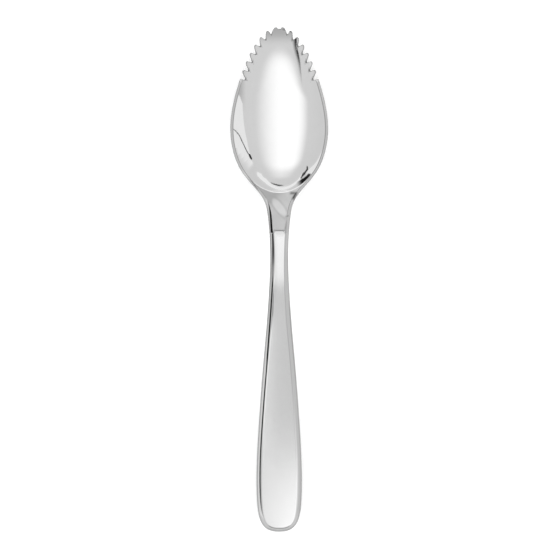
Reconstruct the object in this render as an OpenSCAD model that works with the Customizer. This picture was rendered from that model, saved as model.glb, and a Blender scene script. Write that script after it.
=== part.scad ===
// Grapefruit spoon, stamped from one piece of stainless steel and polished.
//
// It lies as it rests on a table: hollow side up, on the bottom of its bowl and
// on the end of its handle. +Y points from the handle to the toothed nose, +X to
// the right and +Z up. The origin is on the table, under the spoon's middle.
//
// The spoon is a plate seen from above. A smooth outline runs from the nose down
// the right side to the handle's end, and the left side mirrors it. Ribs cross
// the plate from the outline to the spine, which is the line x = 0, and every
// point on a rib gets a top height and an underside height. The front ribs make
// the bowl with its heel and neck, the rear ones the handle. They meet at the
// cross crease, where the polished neck stops and the handle's panel starts.

/* [Overall] */
// Length over all, from the nose to the end of the handle
spoon_len = 165; // [150:1:185]
// Height of the handle's edge at the top of its arch
arch_h = 15.6; // [13:0.2:20]

/* [Bowl] */
// Length of the bowl, from the nose to the heel of the hollow
bowl_len = 54; // [48:0.5:60]
// Width of the bowl over its rim
bowl_w = 31.8; // [28:0.1:36]
// Depth of the hollow below the rim
bowl_depth = 7.4; // [6:0.1:9]
// Thickness of the metal at the bottom of the hollow
floor_t = 1.6; // [1.2:0.1:2.2]
// Thickness of the rim's edge
rim_t = 1.2; // [0.9:0.05:1.6]
// Width of the flat land on top of the rim
land_w = 0.9; // [0.6:0.05:1.3]
// Height of the land's inner side above its outer edge
land_rise = 0.62; // [0.3:0.01:0.8]
// How far forward the heel of the hollow sweeps before it meets the rim
heel_sweep = 4.8; // [3.5:0.1:6.5]

/* [Teeth] */
// Number of teeth round the nose
tooth_count = 14; // [8:2:16]
// Distance between two teeth along the outline
tooth_pitch = 3.1; // [2.6:0.05:3.4]
// Depth of the notches between the teeth
tooth_depth = 1.6; // [1:0.05:1.8]
// How far the root of each notch lies behind its mouth
tooth_lean = 0.7; // [0:0.05:1]
// Distance between the tips of the two middle teeth
nose_gap = 2.4; // [2:0.1:3]
// Depth of the shallow notch between the two middle teeth
nose_cut = 0.6; // [0.3:0.05:1]
// Thickness of the metal at the teeth
tooth_t = 0.9; // [0.7:0.05:1.2]
// Share by which the teeth's tips and roots are blunter than in a plain wave
tooth_blunt_share = 0.4; // [0:0.1:1]
// Share by which the notches are narrower than the teeth
tooth_broad_share = 0.4; // [0:0.1:1]

/* [Neck] */
// Length of the neck, from the heel of the hollow to the cross crease
neck_len = 12.5; // [10:0.5:16]
// Width of the neck where it is narrowest, just behind the crease
neck_w = 5.8; // [5:0.1:7]
// Thickness of the metal at the crease
neck_t = 3.9; // [3:0.1:4.6]
// Width of the bevel at the crease
neck_bevel_w = 1.25; // [1:0.05:1.5]
// Height of the neck's face above its edge at the crease
neck_rise = 0.75; // [0.4:0.05:1]
// Height of the step up to the handle's panel at the crease
crease_step = 0.2; // [0.1:0.02:0.35]

/* [Handle] */
// Width of the handle where it is widest, near its end
handle_w = 14.9; // [12:0.1:18]
// Thickness of the handle near its end
handle_t = 2.4; // [2:0.1:3]
// Thickness of the handle's edge below the bevel
edge_t = 0.8; // [0.6:0.05:1.1]
// Width of the bevel beside the panel
bevel_w = 1.65; // [1.3:0.05:2.1]
// Height of the crown in the middle of the panel
panel_crown = 0.15; // [0.05:0.05:0.3]

/* [Hidden] */

steel = [0.80, 0.80, 0.80];

// Places along the spoon
y_nose = spoon_len / 2;
y_end = -spoon_len / 2;
y_heel = y_nose - bowl_len;
y_crease = y_heel - neck_len;
handle_len = y_crease - y_end;
half_bowl = bowl_w / 2;
half_neck = neck_w / 2;
half_handle = handle_w / 2;

// Control points of the outline's right side, as shares. They steer a cubic
// spline, which passes close by them.
// Bowl: [share of half the bowl's width, share of its length behind the nose]
bowl_shares = [
    [0.19, 0.006], [0.39, 0.058], [0.57, 0.138], [0.712, 0.233], [0.83, 0.333], [0.931, 0.437],
    [0.998, 0.54], [1.012, 0.643], [0.962, 0.745], [0.84, 0.85], [0.635, 0.93]
];
// Flare: [share of the way out from the neck's side to the bowl's side,
// share of the neck's length behind the heel]
flare_shares = [[0.28, 0], [0.112, 0.27], [0.066, 0.56], [0.028, 0.93]];
// Shank: [share of the way out from the neck's side to the handle's side,
// share of the handle's length behind the crease]
shank_shares = [
    [0, 0.05], [0.005, 0.125], [0.09, 0.203], [0.22, 0.294], [0.42, 0.396], [0.61, 0.497],
    [0.77, 0.599], [0.9, 0.69], [0.985, 0.772], [1.005, 0.843]
];
// Handle's end: [share of half the handle's width, the same share before the end]
end_shares = [[0.98, 1.275], [0.91, 0.671], [0.72, 0.235], [0.4, 0.02]];

side = concat(
    [for (p = bowl_shares) [p[0] * half_bowl, y_nose - p[1] * bowl_len]],
    [for (p = flare_shares) [half_neck + p[0] * (half_bowl - half_neck), y_heel - p[1] * neck_len]],
    [for (p = shank_shares) [half_neck + p[0] * (half_handle - half_neck), y_crease - p[1] * handle_len]],
    [for (p = end_shares) [p[0] * half_handle, y_end + p[1] * half_handle]]
);
last = len(side) - 1;
// The two points on the spine that make the spline start and end there exactly,
// and the mirrored points that make it cross the spine square
nose_point = [0, y_nose + (y_nose - side[0][1]) / 2];
end_point = [0, y_end - (side[last][1] - y_end) / 2];
steer = concat(
    [[-side[0][0], side[0][1]], nose_point],
    side,
    [end_point, [-side[last][0], side[last][1]]]
);

// Cubic B-spline through a list of control points, at t from 0 to len(p) - 3
function spline_at(p, t) =
    let (i = min(floor(t), len(p) - 4), f = t - i)
    (pow(1 - f, 3) * p[i] + (3 * pow(f, 3) - 6 * pow(f, 2) + 4) * p[i + 1]
    + (1 + 3 * f + 3 * pow(f, 2) - 3 * pow(f, 3)) * p[i + 2] + pow(f, 3) * p[i + 3]) / 6;

// From 0 below a to 1 above b, with level ends
function ease(a, b, v) = let (s = max(0, min(1, (v - a) / (b - a)))) s * s * (3 - 2 * s);
function mix(a, b, s) = a + (b - a) * s;

// Fine copy of the outline, and its length from the nose up to each point
span_steps = 24;
fine_steps = span_steps * (len(steer) - 3);
fine = [for (k = [0 : fine_steps]) spline_at(steer, k / span_steps)];
fine_s = [
    for (k = 0, s = 0; k <= fine_steps; s = s + norm(fine[min(k + 1, fine_steps)] - fine[k]), k = k + 1)
    s
];
t_of_s = [for (k = [0 : fine_steps]) [fine_s[k], k / span_steps]];
s_of_y = [for (k = [fine_steps : -1 : 0]) [fine[k][1], fine_s[k]]];

// Point, direction of travel and outward normal of the outline at a length s from the nose
function edge_at(s) = spline_at(steer, lookup(s, t_of_s));
span_share = 0.01;
function travel_at(s) =
    let (
        t = lookup(s, t_of_s),
        d = spline_at(steer, t + span_share) - spline_at(steer, max(0, t - span_share))
    )
    d / norm(d);
function outward_at(s) = let (d = travel_at(s)) [-d[1], d[0]];

// Places on the outline, as lengths from the nose
s_teeth = nose_gap / 2 + tooth_pitch * tooth_count / 2;
s_sweep = lookup(y_heel + heel_sweep, s_of_y);
s_crease = lookup(y_crease, s_of_y);
s_end = fine_s[fine_steps];

// Depth of the notches along the outline: a shallow one on the spine, and then
// one full wave behind each tooth
function blunt(wave) =
    let (blunter = mix(wave, ease(0, 1, wave), tooth_blunt_share))
    mix(blunter, blunter * blunter, tooth_broad_share);
function notch_at(s) =
    s < nose_gap / 2 ? nose_cut * blunt((1 + cos(360 * s / nose_gap)) / 2)
    : s < s_teeth ? tooth_depth * blunt((1 - cos(360 * (s - nose_gap / 2) / tooth_pitch)) / 2)
    : 0;
function toothed_edge_at(s) =
    edge_at(s) - notch_at(s) * outward_at(s) + notch_at(s) * tooth_lean / tooth_depth * travel_at(s);

// Width of the land or bevel along the outline. The bevel narrows in the
// handle's round end.
end_bevel_share = 0.7;
settle_share = 0.25;
settle_len = settle_share * handle_len;
function bevel_w_at(s) = bevel_w * mix(1, end_bevel_share, ease(s_end - handle_w, s_end, s));
function band_w_at(s) =
    s < s_crease ? mix(land_w, neck_bevel_w, ease(s_sweep, s_crease, s))
    : mix(neck_bevel_w, bevel_w_at(s), ease(s_crease, s_crease + settle_len, s));

// Boundary of the hollow as [y, x squared]: along the land from the nose to the
// sweep, and then along the heel, a curve down to the spine that gets steeper
// towards it. Ahead of the hollow the square goes below zero, so that its slope
// runs on into the nose.
function land_side(s) = edge_at(s) - band_w_at(s) * outward_at(s);
hollow_steps = 90;
heel_steps = 8;
heel_curl_share = 0.17;
outline_sq = [for (k = [fine_steps : -1 : 0]) [fine[k][1], pow(fine[k][0], 2)]];
sweep_point = land_side(s_sweep);
hollow_side = concat(
    [
        for (k = [0 : heel_steps - 1])
        let (u = k / heel_steps)
        [mix(y_heel, sweep_point[1], u), pow(sweep_point[0], 2) * u * (1 + heel_curl_share * (1 - u))]
    ],
    [
        for (k = [hollow_steps : -1 : 0])
        let (p = land_side(s_sweep * k / hollow_steps))
        [p[1], pow(p[0], 2)]
    ]
);
hollow_sq = concat(hollow_side, [[y_nose, -lookup(y_nose - land_w - land_w, hollow_side)]]);

// 1 along the teeth, which have no land, and 0 along the rim
y_teeth = edge_at(s_teeth)[1];
function bare(y) = ease(y_teeth - land_w, y_teeth + land_w, y);

// Height of the outline's edge along the spoon: control values of a spline whose
// stations lie one after another at equal steps from the end to the nose
rim_h = bowl_depth + floor_t - land_rise;
end_h = edge_t;
arch_shares = [-0.17, 0.02, 0.2, 0.37, 0.53, 0.68, 0.81, 0.915, 0.98, 1, 0.965];
dip_shares = [0.74, 0.44, 0.19];
rim_shares = [1, 0.9, 0.84, 0.83, 0.85];
edge_heights = concat(
    [for (q = arch_shares) end_h + q * (arch_h - end_h)],
    [for (q = dip_shares) rim_h + q * (arch_h - rim_h)],
    [for (q = rim_shares) rim_h * q]
);
function edge_h(y) = spline_at(edge_heights, (y - y_end) / spoon_len * (len(edge_heights) - 3));

// Height of the land, the neck's face or the panel above the outline's edge
function rise_at(y) =
    y > y_crease ? mix(neck_rise, land_rise, ease(y_crease, y_heel + heel_sweep, y))
    : mix(neck_rise + crease_step, handle_t - edge_t - edge_t, ease(y_crease, y_end, y));

// Thickness of the wall below that: rim, neck and handle in turn. The teeth have
// no land, so they stand above the rim's line by the land's height and by what
// the hollow's slope climbs across it. The wall is measured from the top that
// stands there, so that it is rim_t thick at the rim and tooth_t at the teeth.
function lift_at(y) =
    bowl_depth * min(lookup(y, outline_sq) - lookup(y, hollow_sq), bare(y) * pow(half_bowl, 2))
    / pow(half_bowl - land_w, 2);
function rim_wall_h(y) =
    mix(rim_t, tooth_t, ease(y_nose - bowl_len / 2, y_teeth, y)) - land_rise * bare(y) - lift_at(y);
function wall_h(y) = mix(edge_t, rim_wall_h(y), ease(y_crease, y_heel, y));

// Depth of the underside's belly below the edge. The bowl's belly follows the
// square of its width. The handle's is slim up to its middle, thickens to the
// crease and fades out under the rear of the hollow.
y_slim = y_end / 2;
y_fade = y_heel + bowl_len / 4;
full_belly = bowl_depth + floor_t - land_rise - rim_t;
neck_belly = neck_t - neck_rise - crease_step - edge_t;
nose_share = 0.25;
function bowl_belly_at(y) =
    let (share = lookup(y, outline_sq) / pow(half_bowl, 2))
    full_belly * share + (rim_t - rim_wall_h(y)) * ease(0, nose_share, share);
function handle_belly_at(y) =
    mix(edge_t, neck_belly, ease(y_slim, y_crease, y)) * (1 - exp((y_end - y) / edge_t / 2));
function belly_at(y) =
    bowl_belly_at(y) * ease(y_crease, y_heel, y)
    + handle_belly_at(y) * (1 - ease(y_crease, y_fade, y));

// Height of the top, where band runs from 0 on the outline to 1 on the land's or
// the bevel's inner side, and height of the underside. Along the teeth the
// hollow's slope runs on to the edge.
function top_h(x, y, band) =
    let (
        sink = max(lookup(y, hollow_sq) - x * x, -bare(y) * pow(half_bowl, 2)),
        crown = panel_crown * max(0, 1 - x * x / max(x * x, lookup(y, outline_sq)))
    )
    edge_h(y) + rise_at(y) * mix(band, 1, bare(y))
    + (y > y_crease ? -bowl_depth * sink / pow(half_bowl - land_w, 2)
        : crown * ease(y_crease, y_crease - settle_len, y));
// The power makes the handle's underside flat in its middle, so that its end
// lies steady on the table. Towards the crease the underside gets rounder.
flat_power = 4;
function under_h(x, y) =
    let (across = x == 0 ? 0 : min(1, x * x / lookup(y, outline_sq)))
    edge_h(y) - wall_h(y)
    - belly_at(y) * (1 - pow(across, mix(flat_power, 1, ease(y_slim, y_crease, y))));

// The spoon is seated by the straight line through the lowest points of the
// underside of the bowl and of the handle, so that both touch the table
seat_steps = 200;
function lowest(points) =
    let (low = min([for (p = points) p[1]]))
    [for (p = points) if (p[1] == low) p][0];
function under_spine(y, reach) =
    [for (k = [0 : seat_steps]) let (v = y + reach * k / seat_steps) [v, under_h(0, v)]];
bowl_low = lowest(under_spine(y_heel, bowl_len));
handle_low = lowest(under_spine(y_end, half_handle));
function seat_h(y) =
    mix(handle_low[1], bowl_low[1], (y - handle_low[0]) / (bowl_low[0] - handle_low[0]));

// One rib as a list of [x, y, top, underside], from the outline to the spine.
// It crosses the band, and then swings to the spine in a parabola. The first
// point inside the band lies at inner_share of the way out. The rib in the
// crease crosses the spoon square, so that bowl and handle meet in one plane.
hair = edge_t / 1000;
function rib_at(s, spine_y, inner_share, columns) =
    let (
        square = abs(s - s_crease) < hair,
        rim = toothed_edge_at(s),
        out = square ? [1, 0] : outward_at(s),
        inner = edge_at(s) - band_w_at(s) * out,
        plan = concat(
            [rim, rim - band_w_at(s) * out],
            [
                for (k = [0 : columns])
                let (u = inner_share * (1 - k / columns))
                [inner[0] * u, mix(spine_y, inner[1], u * u)]
            ]
        )
    )
    [
        for (j = [0 : len(plan) - 1])
        let (x = j > columns + 1 ? 0 : plan[j][0], y = square ? y_crease : plan[j][1])
        [x, y, top_h(x, y, min(j, 1)) - seat_h(y), under_h(x, y) - seat_h(y)]
    ];

// Solid between the top and the underside of a row of ribs. The first rib lies on
// the spine, at the nose or the handle's end, and the last one lies in the crease.
module plate(ribs, rearward) {
    n = len(ribs) - 1;
    m = len(ribs[0]) - 1;
    right = [for (r = ribs) for (p = r) p];
    left = [
        for (i = [1 : n])
        for (j = [0 : m - 1])
        let (p = ribs[i][j])
        [-p[0], p[1], p[2], p[3]]
    ];
    all = concat(right, left);
    layer = len(all);
    points = concat([for (p = all) [p[0], p[1], p[2]]], [for (p = all) [p[0], p[1], p[3]]]);
    function at(side, i, j) =
        side == 0 || i == 0 || j == m ? i * (m + 1) + j : len(right) + (i - 1) * m + j;
    function quad(a, b, c, d, turn) = turn ? [[d, b, a], [d, c, b]] : [[a, b, d], [b, c, d]];
    faces = [
        for (side = [0, 1])
        let (turn = (side == 1) != rearward)
        each concat(
            [
                for (i = [0 : n - 1])
                for (j = [0 : m - 1])
                let (a = at(side, i, j), b = at(side, i + 1, j))
                let (c = at(side, i + 1, j + 1), d = at(side, i, j + 1))
                each concat(
                    quad(a, b, c, d, turn),
                    quad(a + layer, b + layer, c + layer, d + layer, !turn)
                )
            ],
            [
                for (i = [0 : n - 1])
                let (a = at(side, i, 0), b = at(side, i + 1, 0))
                each quad(b, a, a + layer, b + layer, turn)
            ],
            [
                for (j = [0 : m - 1])
                let (a = at(side, n, j), b = at(side, n, j + 1))
                each quad(b, a, a + layer, b + layer, turn)
            ]
        )
    ];
    polyhedron(points = points, faces = faces, convexity = 6);
}

// Stations of the ribs along the outline
gap_ribs = 3;
tooth_ribs = 8;
rim_ribs = 15;
neck_ribs = 14;
handle_ribs = 30;
end_ribs = 20;
bowl_stations = concat(
    [for (k = [0 : gap_ribs - 1]) nose_gap / 2 * k / gap_ribs],
    [for (k = [0 : tooth_ribs * tooth_count / 2 - 1]) nose_gap / 2 + tooth_pitch * k / tooth_ribs],
    [for (k = [0 : rim_ribs - 1]) mix(s_teeth, s_sweep, k / rim_ribs)],
    [for (k = [0 : neck_ribs]) mix(s_sweep, s_crease, k / neck_ribs)]
);
// In the handle's round end the ribs fan out from a short piece of the spine
fan_share = 1.6;
tail_share = 0.45;
y_fan = y_end + fan_share * handle_w;
s_fan = lookup(y_fan, s_of_y);
handle_stations = concat(
    [for (k = [0 : end_ribs - 1]) mix(s_end, s_fan, k / end_ribs)],
    [for (k = [0 : handle_ribs]) mix(s_fan, s_crease, k / handle_ribs)]
);
// Where the bowl's ribs end on the spine, as [share of the outline up to the
// sweep, share of the bowl's length]
spine_shares = [[0, 0.36], [0.7, 0.675], [1, 1]];
bowl_spine = concat(
    [for (p = spine_shares) [p[0] * s_sweep, y_nose - p[1] * bowl_len]],
    [[s_crease, y_crease]]
);
handle_spine = [[s_crease, y_crease], [s_fan, y_fan], [s_end, y_end + tail_share * handle_w]];
// Where the first point inside the land lies on each rib, and inside the bevel
bowl_inner_shares = [
    [0, 0.93], [s_teeth / 3, 0.86], [s_teeth, 0.82], [s_teeth + tooth_pitch, 0.93],
    [s_sweep, 0.93], [s_crease, 0.75]
];
handle_inner_share = 0.8;
bowl_columns = 7;
handle_columns = 4;

// Bowl with its toothed nose, its hollow, and the heel and neck behind it
module bowl() {
    color(steel)
        plate([
            for (s = bowl_stations)
            rib_at(s, lookup(s, bowl_spine), lookup(s, bowl_inner_shares), bowl_columns)
        ], false);
}

// Handle, from the crease to its round end, with a flat panel inside its bevel
module handle() {
    color(steel)
        plate([
            for (s = handle_stations)
            rib_at(s, lookup(s, handle_spine), handle_inner_share, handle_columns)
        ], true);
}

bowl();
handle();
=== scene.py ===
# %% [markdown]
# A grapefruit spoon is one piece of stainless steel: a long bowl with rounded
# teeth round its nose, a thin neck and a bevelled handle. It is cut flat from
# sheet, pressed between two dies and polished. This lesson makes it the same
# way: a flat blank, teeth cut by Geometry Nodes, a pressing that gives every
# point its height, and a polished finish. The construction model is loaded
# first, because it fixes the place and the size of everything else.

# %% Load the construction model
import math

import bmesh
import bpy
import numpy as np
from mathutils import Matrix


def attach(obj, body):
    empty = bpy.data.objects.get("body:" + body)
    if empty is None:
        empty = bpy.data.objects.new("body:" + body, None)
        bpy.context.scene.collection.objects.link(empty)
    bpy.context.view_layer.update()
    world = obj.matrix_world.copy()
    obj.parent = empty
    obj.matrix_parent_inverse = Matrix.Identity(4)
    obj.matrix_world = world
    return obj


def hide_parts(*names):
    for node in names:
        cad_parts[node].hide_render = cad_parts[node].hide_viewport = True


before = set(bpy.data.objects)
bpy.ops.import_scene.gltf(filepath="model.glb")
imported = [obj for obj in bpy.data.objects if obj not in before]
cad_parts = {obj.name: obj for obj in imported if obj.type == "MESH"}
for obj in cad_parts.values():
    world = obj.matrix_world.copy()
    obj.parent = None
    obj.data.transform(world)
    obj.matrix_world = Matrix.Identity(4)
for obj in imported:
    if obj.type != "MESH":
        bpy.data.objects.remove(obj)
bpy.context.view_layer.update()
MM = 0.001
print("solids:", ", ".join(sorted(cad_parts)))

# %% [markdown]
# The photograph looks straight down on the spoon, with the nose at the top of
# the picture. A camera high above with a long lens shows it with hardly any
# perspective, so that the arched handle and the flat rim keep one scale.

# %% Camera
view_width = 183.5 * MM
view_centre = (0.26 * MM, -0.08 * MM)
camera_height, far_sight = 2.0, 20
sensor = 36.0
camera_data = bpy.data.cameras.new("camera")
camera_data.sensor_width = sensor
camera_data.lens = sensor * camera_height / view_width
camera_data.clip_end = far_sight
camera = bpy.data.objects.new("camera", camera_data)
camera.location = (*view_centre, camera_height)
bpy.context.collection.objects.link(camera)
bpy.context.scene.camera = camera
bpy.context.scene.view_settings.view_transform = "Standard"
print("lens in mm:", round(camera_data.lens))

# %% [markdown]
# The trees of nodes are wired in code, so four helpers come first. One sets or
# links a socket, one adds a sum, one adds a ramp between two values, and the last
# tells rays that come off the metal from all the others.

# %% Helpers for node trees
def wire(tree, value, socket):
    """Link a socket to another node's output, or set it to a plain value."""
    if hasattr(value, "is_output"):
        tree.links.new(value, socket)
    else:
        socket.default_value = value


def math_node(tree, operation, *values):
    """The result of a Math node on outputs or numbers."""
    node = tree.nodes.new("ShaderNodeMath")
    node.operation = operation
    for value, socket in zip(values, node.inputs):
        wire(tree, value, socket)
    return node.outputs[0]


def ramp_node(tree, value, start, stop, low=0.0, high=1.0, smooth=True):
    """From low to high while a value runs from start to stop."""
    node = tree.nodes.new("ShaderNodeMapRange")
    node.interpolation_type = "SMOOTHSTEP" if smooth else "LINEAR"
    names = ("Value", "From Min", "From Max", "To Min", "To Max")
    for name, given in zip(names, (value, start, stop, low, high)):
        wire(tree, given, node.inputs[name])
    return node.outputs["Result"]


def grey(level):
    return level, level, level, 1


def mirror_switch(tree, plain, mirrored):
    """A colour that is `plain` for most rays and `mirrored` for rays off the metal."""
    path = tree.nodes.new("ShaderNodeLightPath")
    choice = tree.nodes.new("ShaderNodeMix")
    choice.data_type = "RGBA"
    colour_a, colour_b, result = choice.inputs[6], choice.inputs[7], choice.outputs[2]
    tree.links.new(path.outputs["Is Glossy Ray"], choice.inputs["Factor"])
    wire(tree, plain, colour_a)
    wire(tree, mirrored, colour_b)
    return result


print("helpers: wire, math_node, ramp_node, mirror_switch")

# %% [markdown]
# The studio is a white table in a pale room. Polished steel has hardly any
# colour of its own and shows what stands round it, so the room is set up the way
# a photographer of cutlery works: one light for the table, and pale or dark
# sheets that only the metal sees. A Light Path node tells the mirror's rays from
# the others, so the table stays white while the steel reflects a softer grey.

# %% Table and room
table_side, table_rough = 6.0, 0.7
table_white, table_in_steel = 0.9, 0.32
daylight, wall_low_grey, wall_grey = 1.7, 0.72, 0.76
wall_foot, wall_top = 0.0, 0.5


def stage_sheet(name, corners, material):
    """One flat rectangle of the studio from its four corners."""
    mesh = bpy.data.meshes.new(name)
    mesh.from_pydata(corners, [], [(0, 1, 2, 3)])
    mesh.materials.append(material)
    layer = mesh.uv_layers.new(name="UVMap")
    for loop, uv in zip(layer.data, [(0, 0), (1, 0), (1, 1), (0, 1)]):
        loop.uv = uv
    made = bpy.data.objects.new(name, mesh)
    bpy.context.collection.objects.link(made)
    return made


matt = bpy.data.materials.new("table_white")
matt.use_nodes = True
matt_shader = matt.node_tree.nodes["Principled BSDF"]
matt_shader.inputs["Roughness"].default_value = table_rough
seen_table = mirror_switch(matt.node_tree, grey(table_white), grey(table_in_steel))
matt.node_tree.links.new(seen_table, matt_shader.inputs["Base Color"])
half = table_side / 2
table_corners = [(-half, -half, 0), (half, -half, 0), (half, half, 0), (-half, half, 0)]
stage_sheet("table", table_corners, matt)

room = bpy.data.worlds.new("room")
room.use_nodes = True
air = room.node_tree
look = air.nodes.new("ShaderNodeTexCoord")
upward = air.nodes.new("ShaderNodeSeparateXYZ")
air.links.new(look.outputs["Generated"], upward.inputs[0])
wall = ramp_node(air, upward.outputs["Z"], wall_foot, wall_top, wall_low_grey, wall_grey)
seen_room = mirror_switch(air, grey(daylight), wall)
air.links.new(seen_room, air.nodes["Background"].inputs["Color"])
bpy.context.scene.world = room
print("table", table_side, "m, daylight", daylight, "walls", wall_low_grey, "to", wall_grey)

# %% [markdown]
# Sheets hang over the table, and Cycles lets each of them be met by the steel's
# mirrored rays alone. A sheet glows evenly and thins out towards its sides, like
# cloth on a frame. The widest is the light in the bowl. The grey ones soften the
# handle, and the dark ones draw the narrow dark lines beside its bevels.

# %% Sheets that only the metal sees
dark = 0.01
hung = []


def cloth(name, level, thin):
    """A sheet of brightness `level` that thins out over a share of it at its four sides."""
    material = bpy.data.materials.new(name)
    material.use_nodes = True
    tree = material.node_tree
    tree.nodes.clear()
    place = tree.nodes.new("ShaderNodeTexCoord")
    split = tree.nodes.new("ShaderNodeSeparateXYZ")
    tree.links.new(place.outputs["UV"], split.inputs[0])
    dense = None
    for (axis, side), share in zip((("X", 0), ("X", 1), ("Y", 0), ("Y", 1)), thin):
        ramp = ramp_node(tree, split.outputs[axis], side, abs(side - share))
        dense = ramp if dense is None else math_node(tree, "MULTIPLY", dense, ramp)
    glow = tree.nodes.new("ShaderNodeEmission")
    glow.inputs["Color"].default_value = grey(1)
    glow.inputs["Strength"].default_value = level
    clear = tree.nodes.new("ShaderNodeBsdfTransparent")
    blend = tree.nodes.new("ShaderNodeMixShader")
    out = tree.nodes.new("ShaderNodeOutputMaterial")
    tree.links.new(dense, blend.inputs["Fac"])
    tree.links.new(clear.outputs[0], blend.inputs[1])
    tree.links.new(glow.outputs[0], blend.inputs[2])
    tree.links.new(blend.outputs[0], out.inputs["Surface"])
    material.cycles.emission_sampling = "NONE"
    return material


def sheet(name, level, corners, thin):
    """A pale or dark sheet. Corners in mm run rear left, rear right, front right, front left,
    and `thin` gives the shares that thin out at its left, right, rear and front."""
    made = stage_sheet(name, [tuple(v * MM for v in c) for c in corners], cloth(name, level, thin))
    for kind in ("camera", "diffuse", "shadow", "transmission", "volume_scatter"):
        setattr(made, "visible_" + kind, False)
    hung.append(name)


sheet(
    "sheet_over_bowl", 1.25,
    [(-300, -5, 145), (210, -5, 145), (210, 560, 145), (-300, 560, 145)],
    (0.37, 0.47, 0.022, 0.51),
)
sheet(
    "sheet_behind", 1.4,
    [(-75, -330, 150), (260, -300, 150), (200, -60, 150), (-60, -95, 150)],
    (0.4, 0.3, 0.2, 0.4),
)
sheet(
    "sheet_left_of_handle", 1.25,
    [(-162, -150, 147), (4, -150, 147), (2, -31, 147), (-150, -31, 147)],
    (0.05, 0.3, 0.4, 0.12),
)
sheet(
    "sheet_far_left", 0.98,
    [(-430, -330, 146), (-226, -330, 146), (-226, -30, 146), (-430, -30, 146)],
    (0.3, 0.05, 0.1, 0.1),
)
sheet(
    "grey_sheet_over_handle", 0.72,
    [(-12, -150, 141), (80, -150, 141), (80, -5, 141), (-12, -5, 141)],
    (0.12, 0.3, 0.35, 0.35),
)
sheet(
    "dark_strip", dark,
    [(-214, -262, 143), (-168, -262, 143), (-168, -50, 143), (-214, -50, 143)],
    (0.12, 0.12, 0.45, 0.08),
)
sheet(
    "dark_wedge", dark,
    [(-72, -30, 143), (14, -30, 143), (-110, -1.5, 143), (-196, -1.5, 143)],
    (0.2, 0.75, 0.1, 0.3),
)
sheet(
    "dark_card_neck", dark,
    [(-11, -3, 17.4), (-11, -3, 19), (-11, 25.7, 30), (-11, 25.7, 17.4)],
    (0.1, 0.6, 0.55, 0.03),
)
sheet(
    "dark_card_handle", dark,
    [(-43, -40, 35), (-30, -40, 35), (-32, 9, 35), (-50, 9, 35)],
    (0.2, 0.2, 0.2, 0.2),
)
print("sheets:", ", ".join(hung))

# %% [markdown]
# Boards stand on edge round the table, about 0.4 m to the sides and 0.5 m in
# front. The curved bowl shows them small and bent along its own edge: pale ones
# light the sides of the hollow, and dark ones draw the curved strokes in its
# heel. The list for each board follows its run, like posts of a fence.

# %% Boards round the table
def standing_board(name, level, stations, thin):
    """Boards side by side on edge. Each station is x, y, lower and upper height in mm, and
    `thin` gives, for each board, the shares that thin out at its start, end, foot and top."""
    for k, (start, end, shares) in enumerate(zip(stations, stations[1:], thin)):
        (x0, y0, low0, top0), (x1, y1, low1, top1) = start, end
        corners = [(x0, y0, low0), (x1, y1, low1), (x1, y1, top1), (x0, y0, top0)]
        sheet("%s_%d" % (name, k), level, corners, shares)


# The share of a side that ends sharply
hard = 0.001
standing_board(
    "pale_board_right", 0.95,
    [(400, -8, 0, 76), (400, 6, 0, 110), (400, 75, 0, 124), (400, 215, 0, 145),
     (400, 260, 0, 146), (400, 300, 0, 147), (400, 350, 0, 147), (400, 500, 0, 147)],
    [(0.3, hard, 0.05, 0.05), (hard, hard, 0.05, 0.05), (hard, hard, 0.05, 0.05),
     (hard, hard, 0.2, 0.05), (hard, hard, 0.4, 0.05), (hard, hard, 0.6, 0.05),
     (hard, 0.5, 0.85, 0.05)],
)
standing_board(
    "grey_board_right", 0.45,
    [(402, -110, 20, 150), (402, -30, 20, 150), (402, 40, 20, 150)],
    [(0.9, hard, 0.05, 0.8), (hard, 0.9, 0.05, 0.8)],
)
standing_board(
    "pale_board_front", 0.99,
    [(330, 500, 90, 104), (281, 500, 89, 117), (235, 500, 80, 128), (165, 500, 71, 124),
     (112, 500, 62, 101), (42, 500, 50, 87), (-30, 500, 42, 80), (-100, 500, 44, 80),
     (-161, 500, 50, 86), (-257, 500, 66, 98), (-345, 500, 84, 104)],
    [(0.8, hard, 0.3, 0.2)] + 4 * [(hard, hard, 0.3, 0.15)] + 4 * [(hard, hard, 0.3, 0.35)]
    + [(hard, 0.6, 0.3, 0.2)],
)
standing_board(
    "pale_board_left", 0.95,
    [(-350, 500, 50, 58), (-400, 500, 0, 70), (-400, 205, 0, 10)],
    [(0.1, hard, 0.05, 0.08), (hard, 0.05, 0.05, 0.08)],
)
standing_board(
    "dark_arc", dark,
    [(112, 499, 98, 107), (76, 499, 90, 99), (41, 499, 86, 97), (8, 499, 81, 92),
     (-70, 499, 79, 88)],
    [(0.9, hard, 0.1, 0.2), (hard, hard, 0.1, 0.2), (hard, hard, 0.1, 0.2), (hard, 0.9, 0.1, 0.2)],
)
standing_board(
    "dark_rod_right", dark,
    [(397, 112, 9, 18), (397, 125, 30, 39), (397, 139, 45, 54), (397, 160, 61, 70),
     (397, 190, 74, 83), (397, 231, 90, 99), (397, 280, 105, 115), (397, 316, 119, 130)],
    7 * [(hard, hard, 0.15, 0.15)],
)
standing_board(
    "dark_knob_right", dark,
    [(397, 316, 119, 130), (397, 330, 122, 142), (397, 348, 123, 150), (397, 376, 130, 154),
     (397, 404, 141, 154)],
    3 * [(hard, hard, 0.1, 0.1)] + [(hard, 0.5, 0.1, 0.1)],
)
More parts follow.
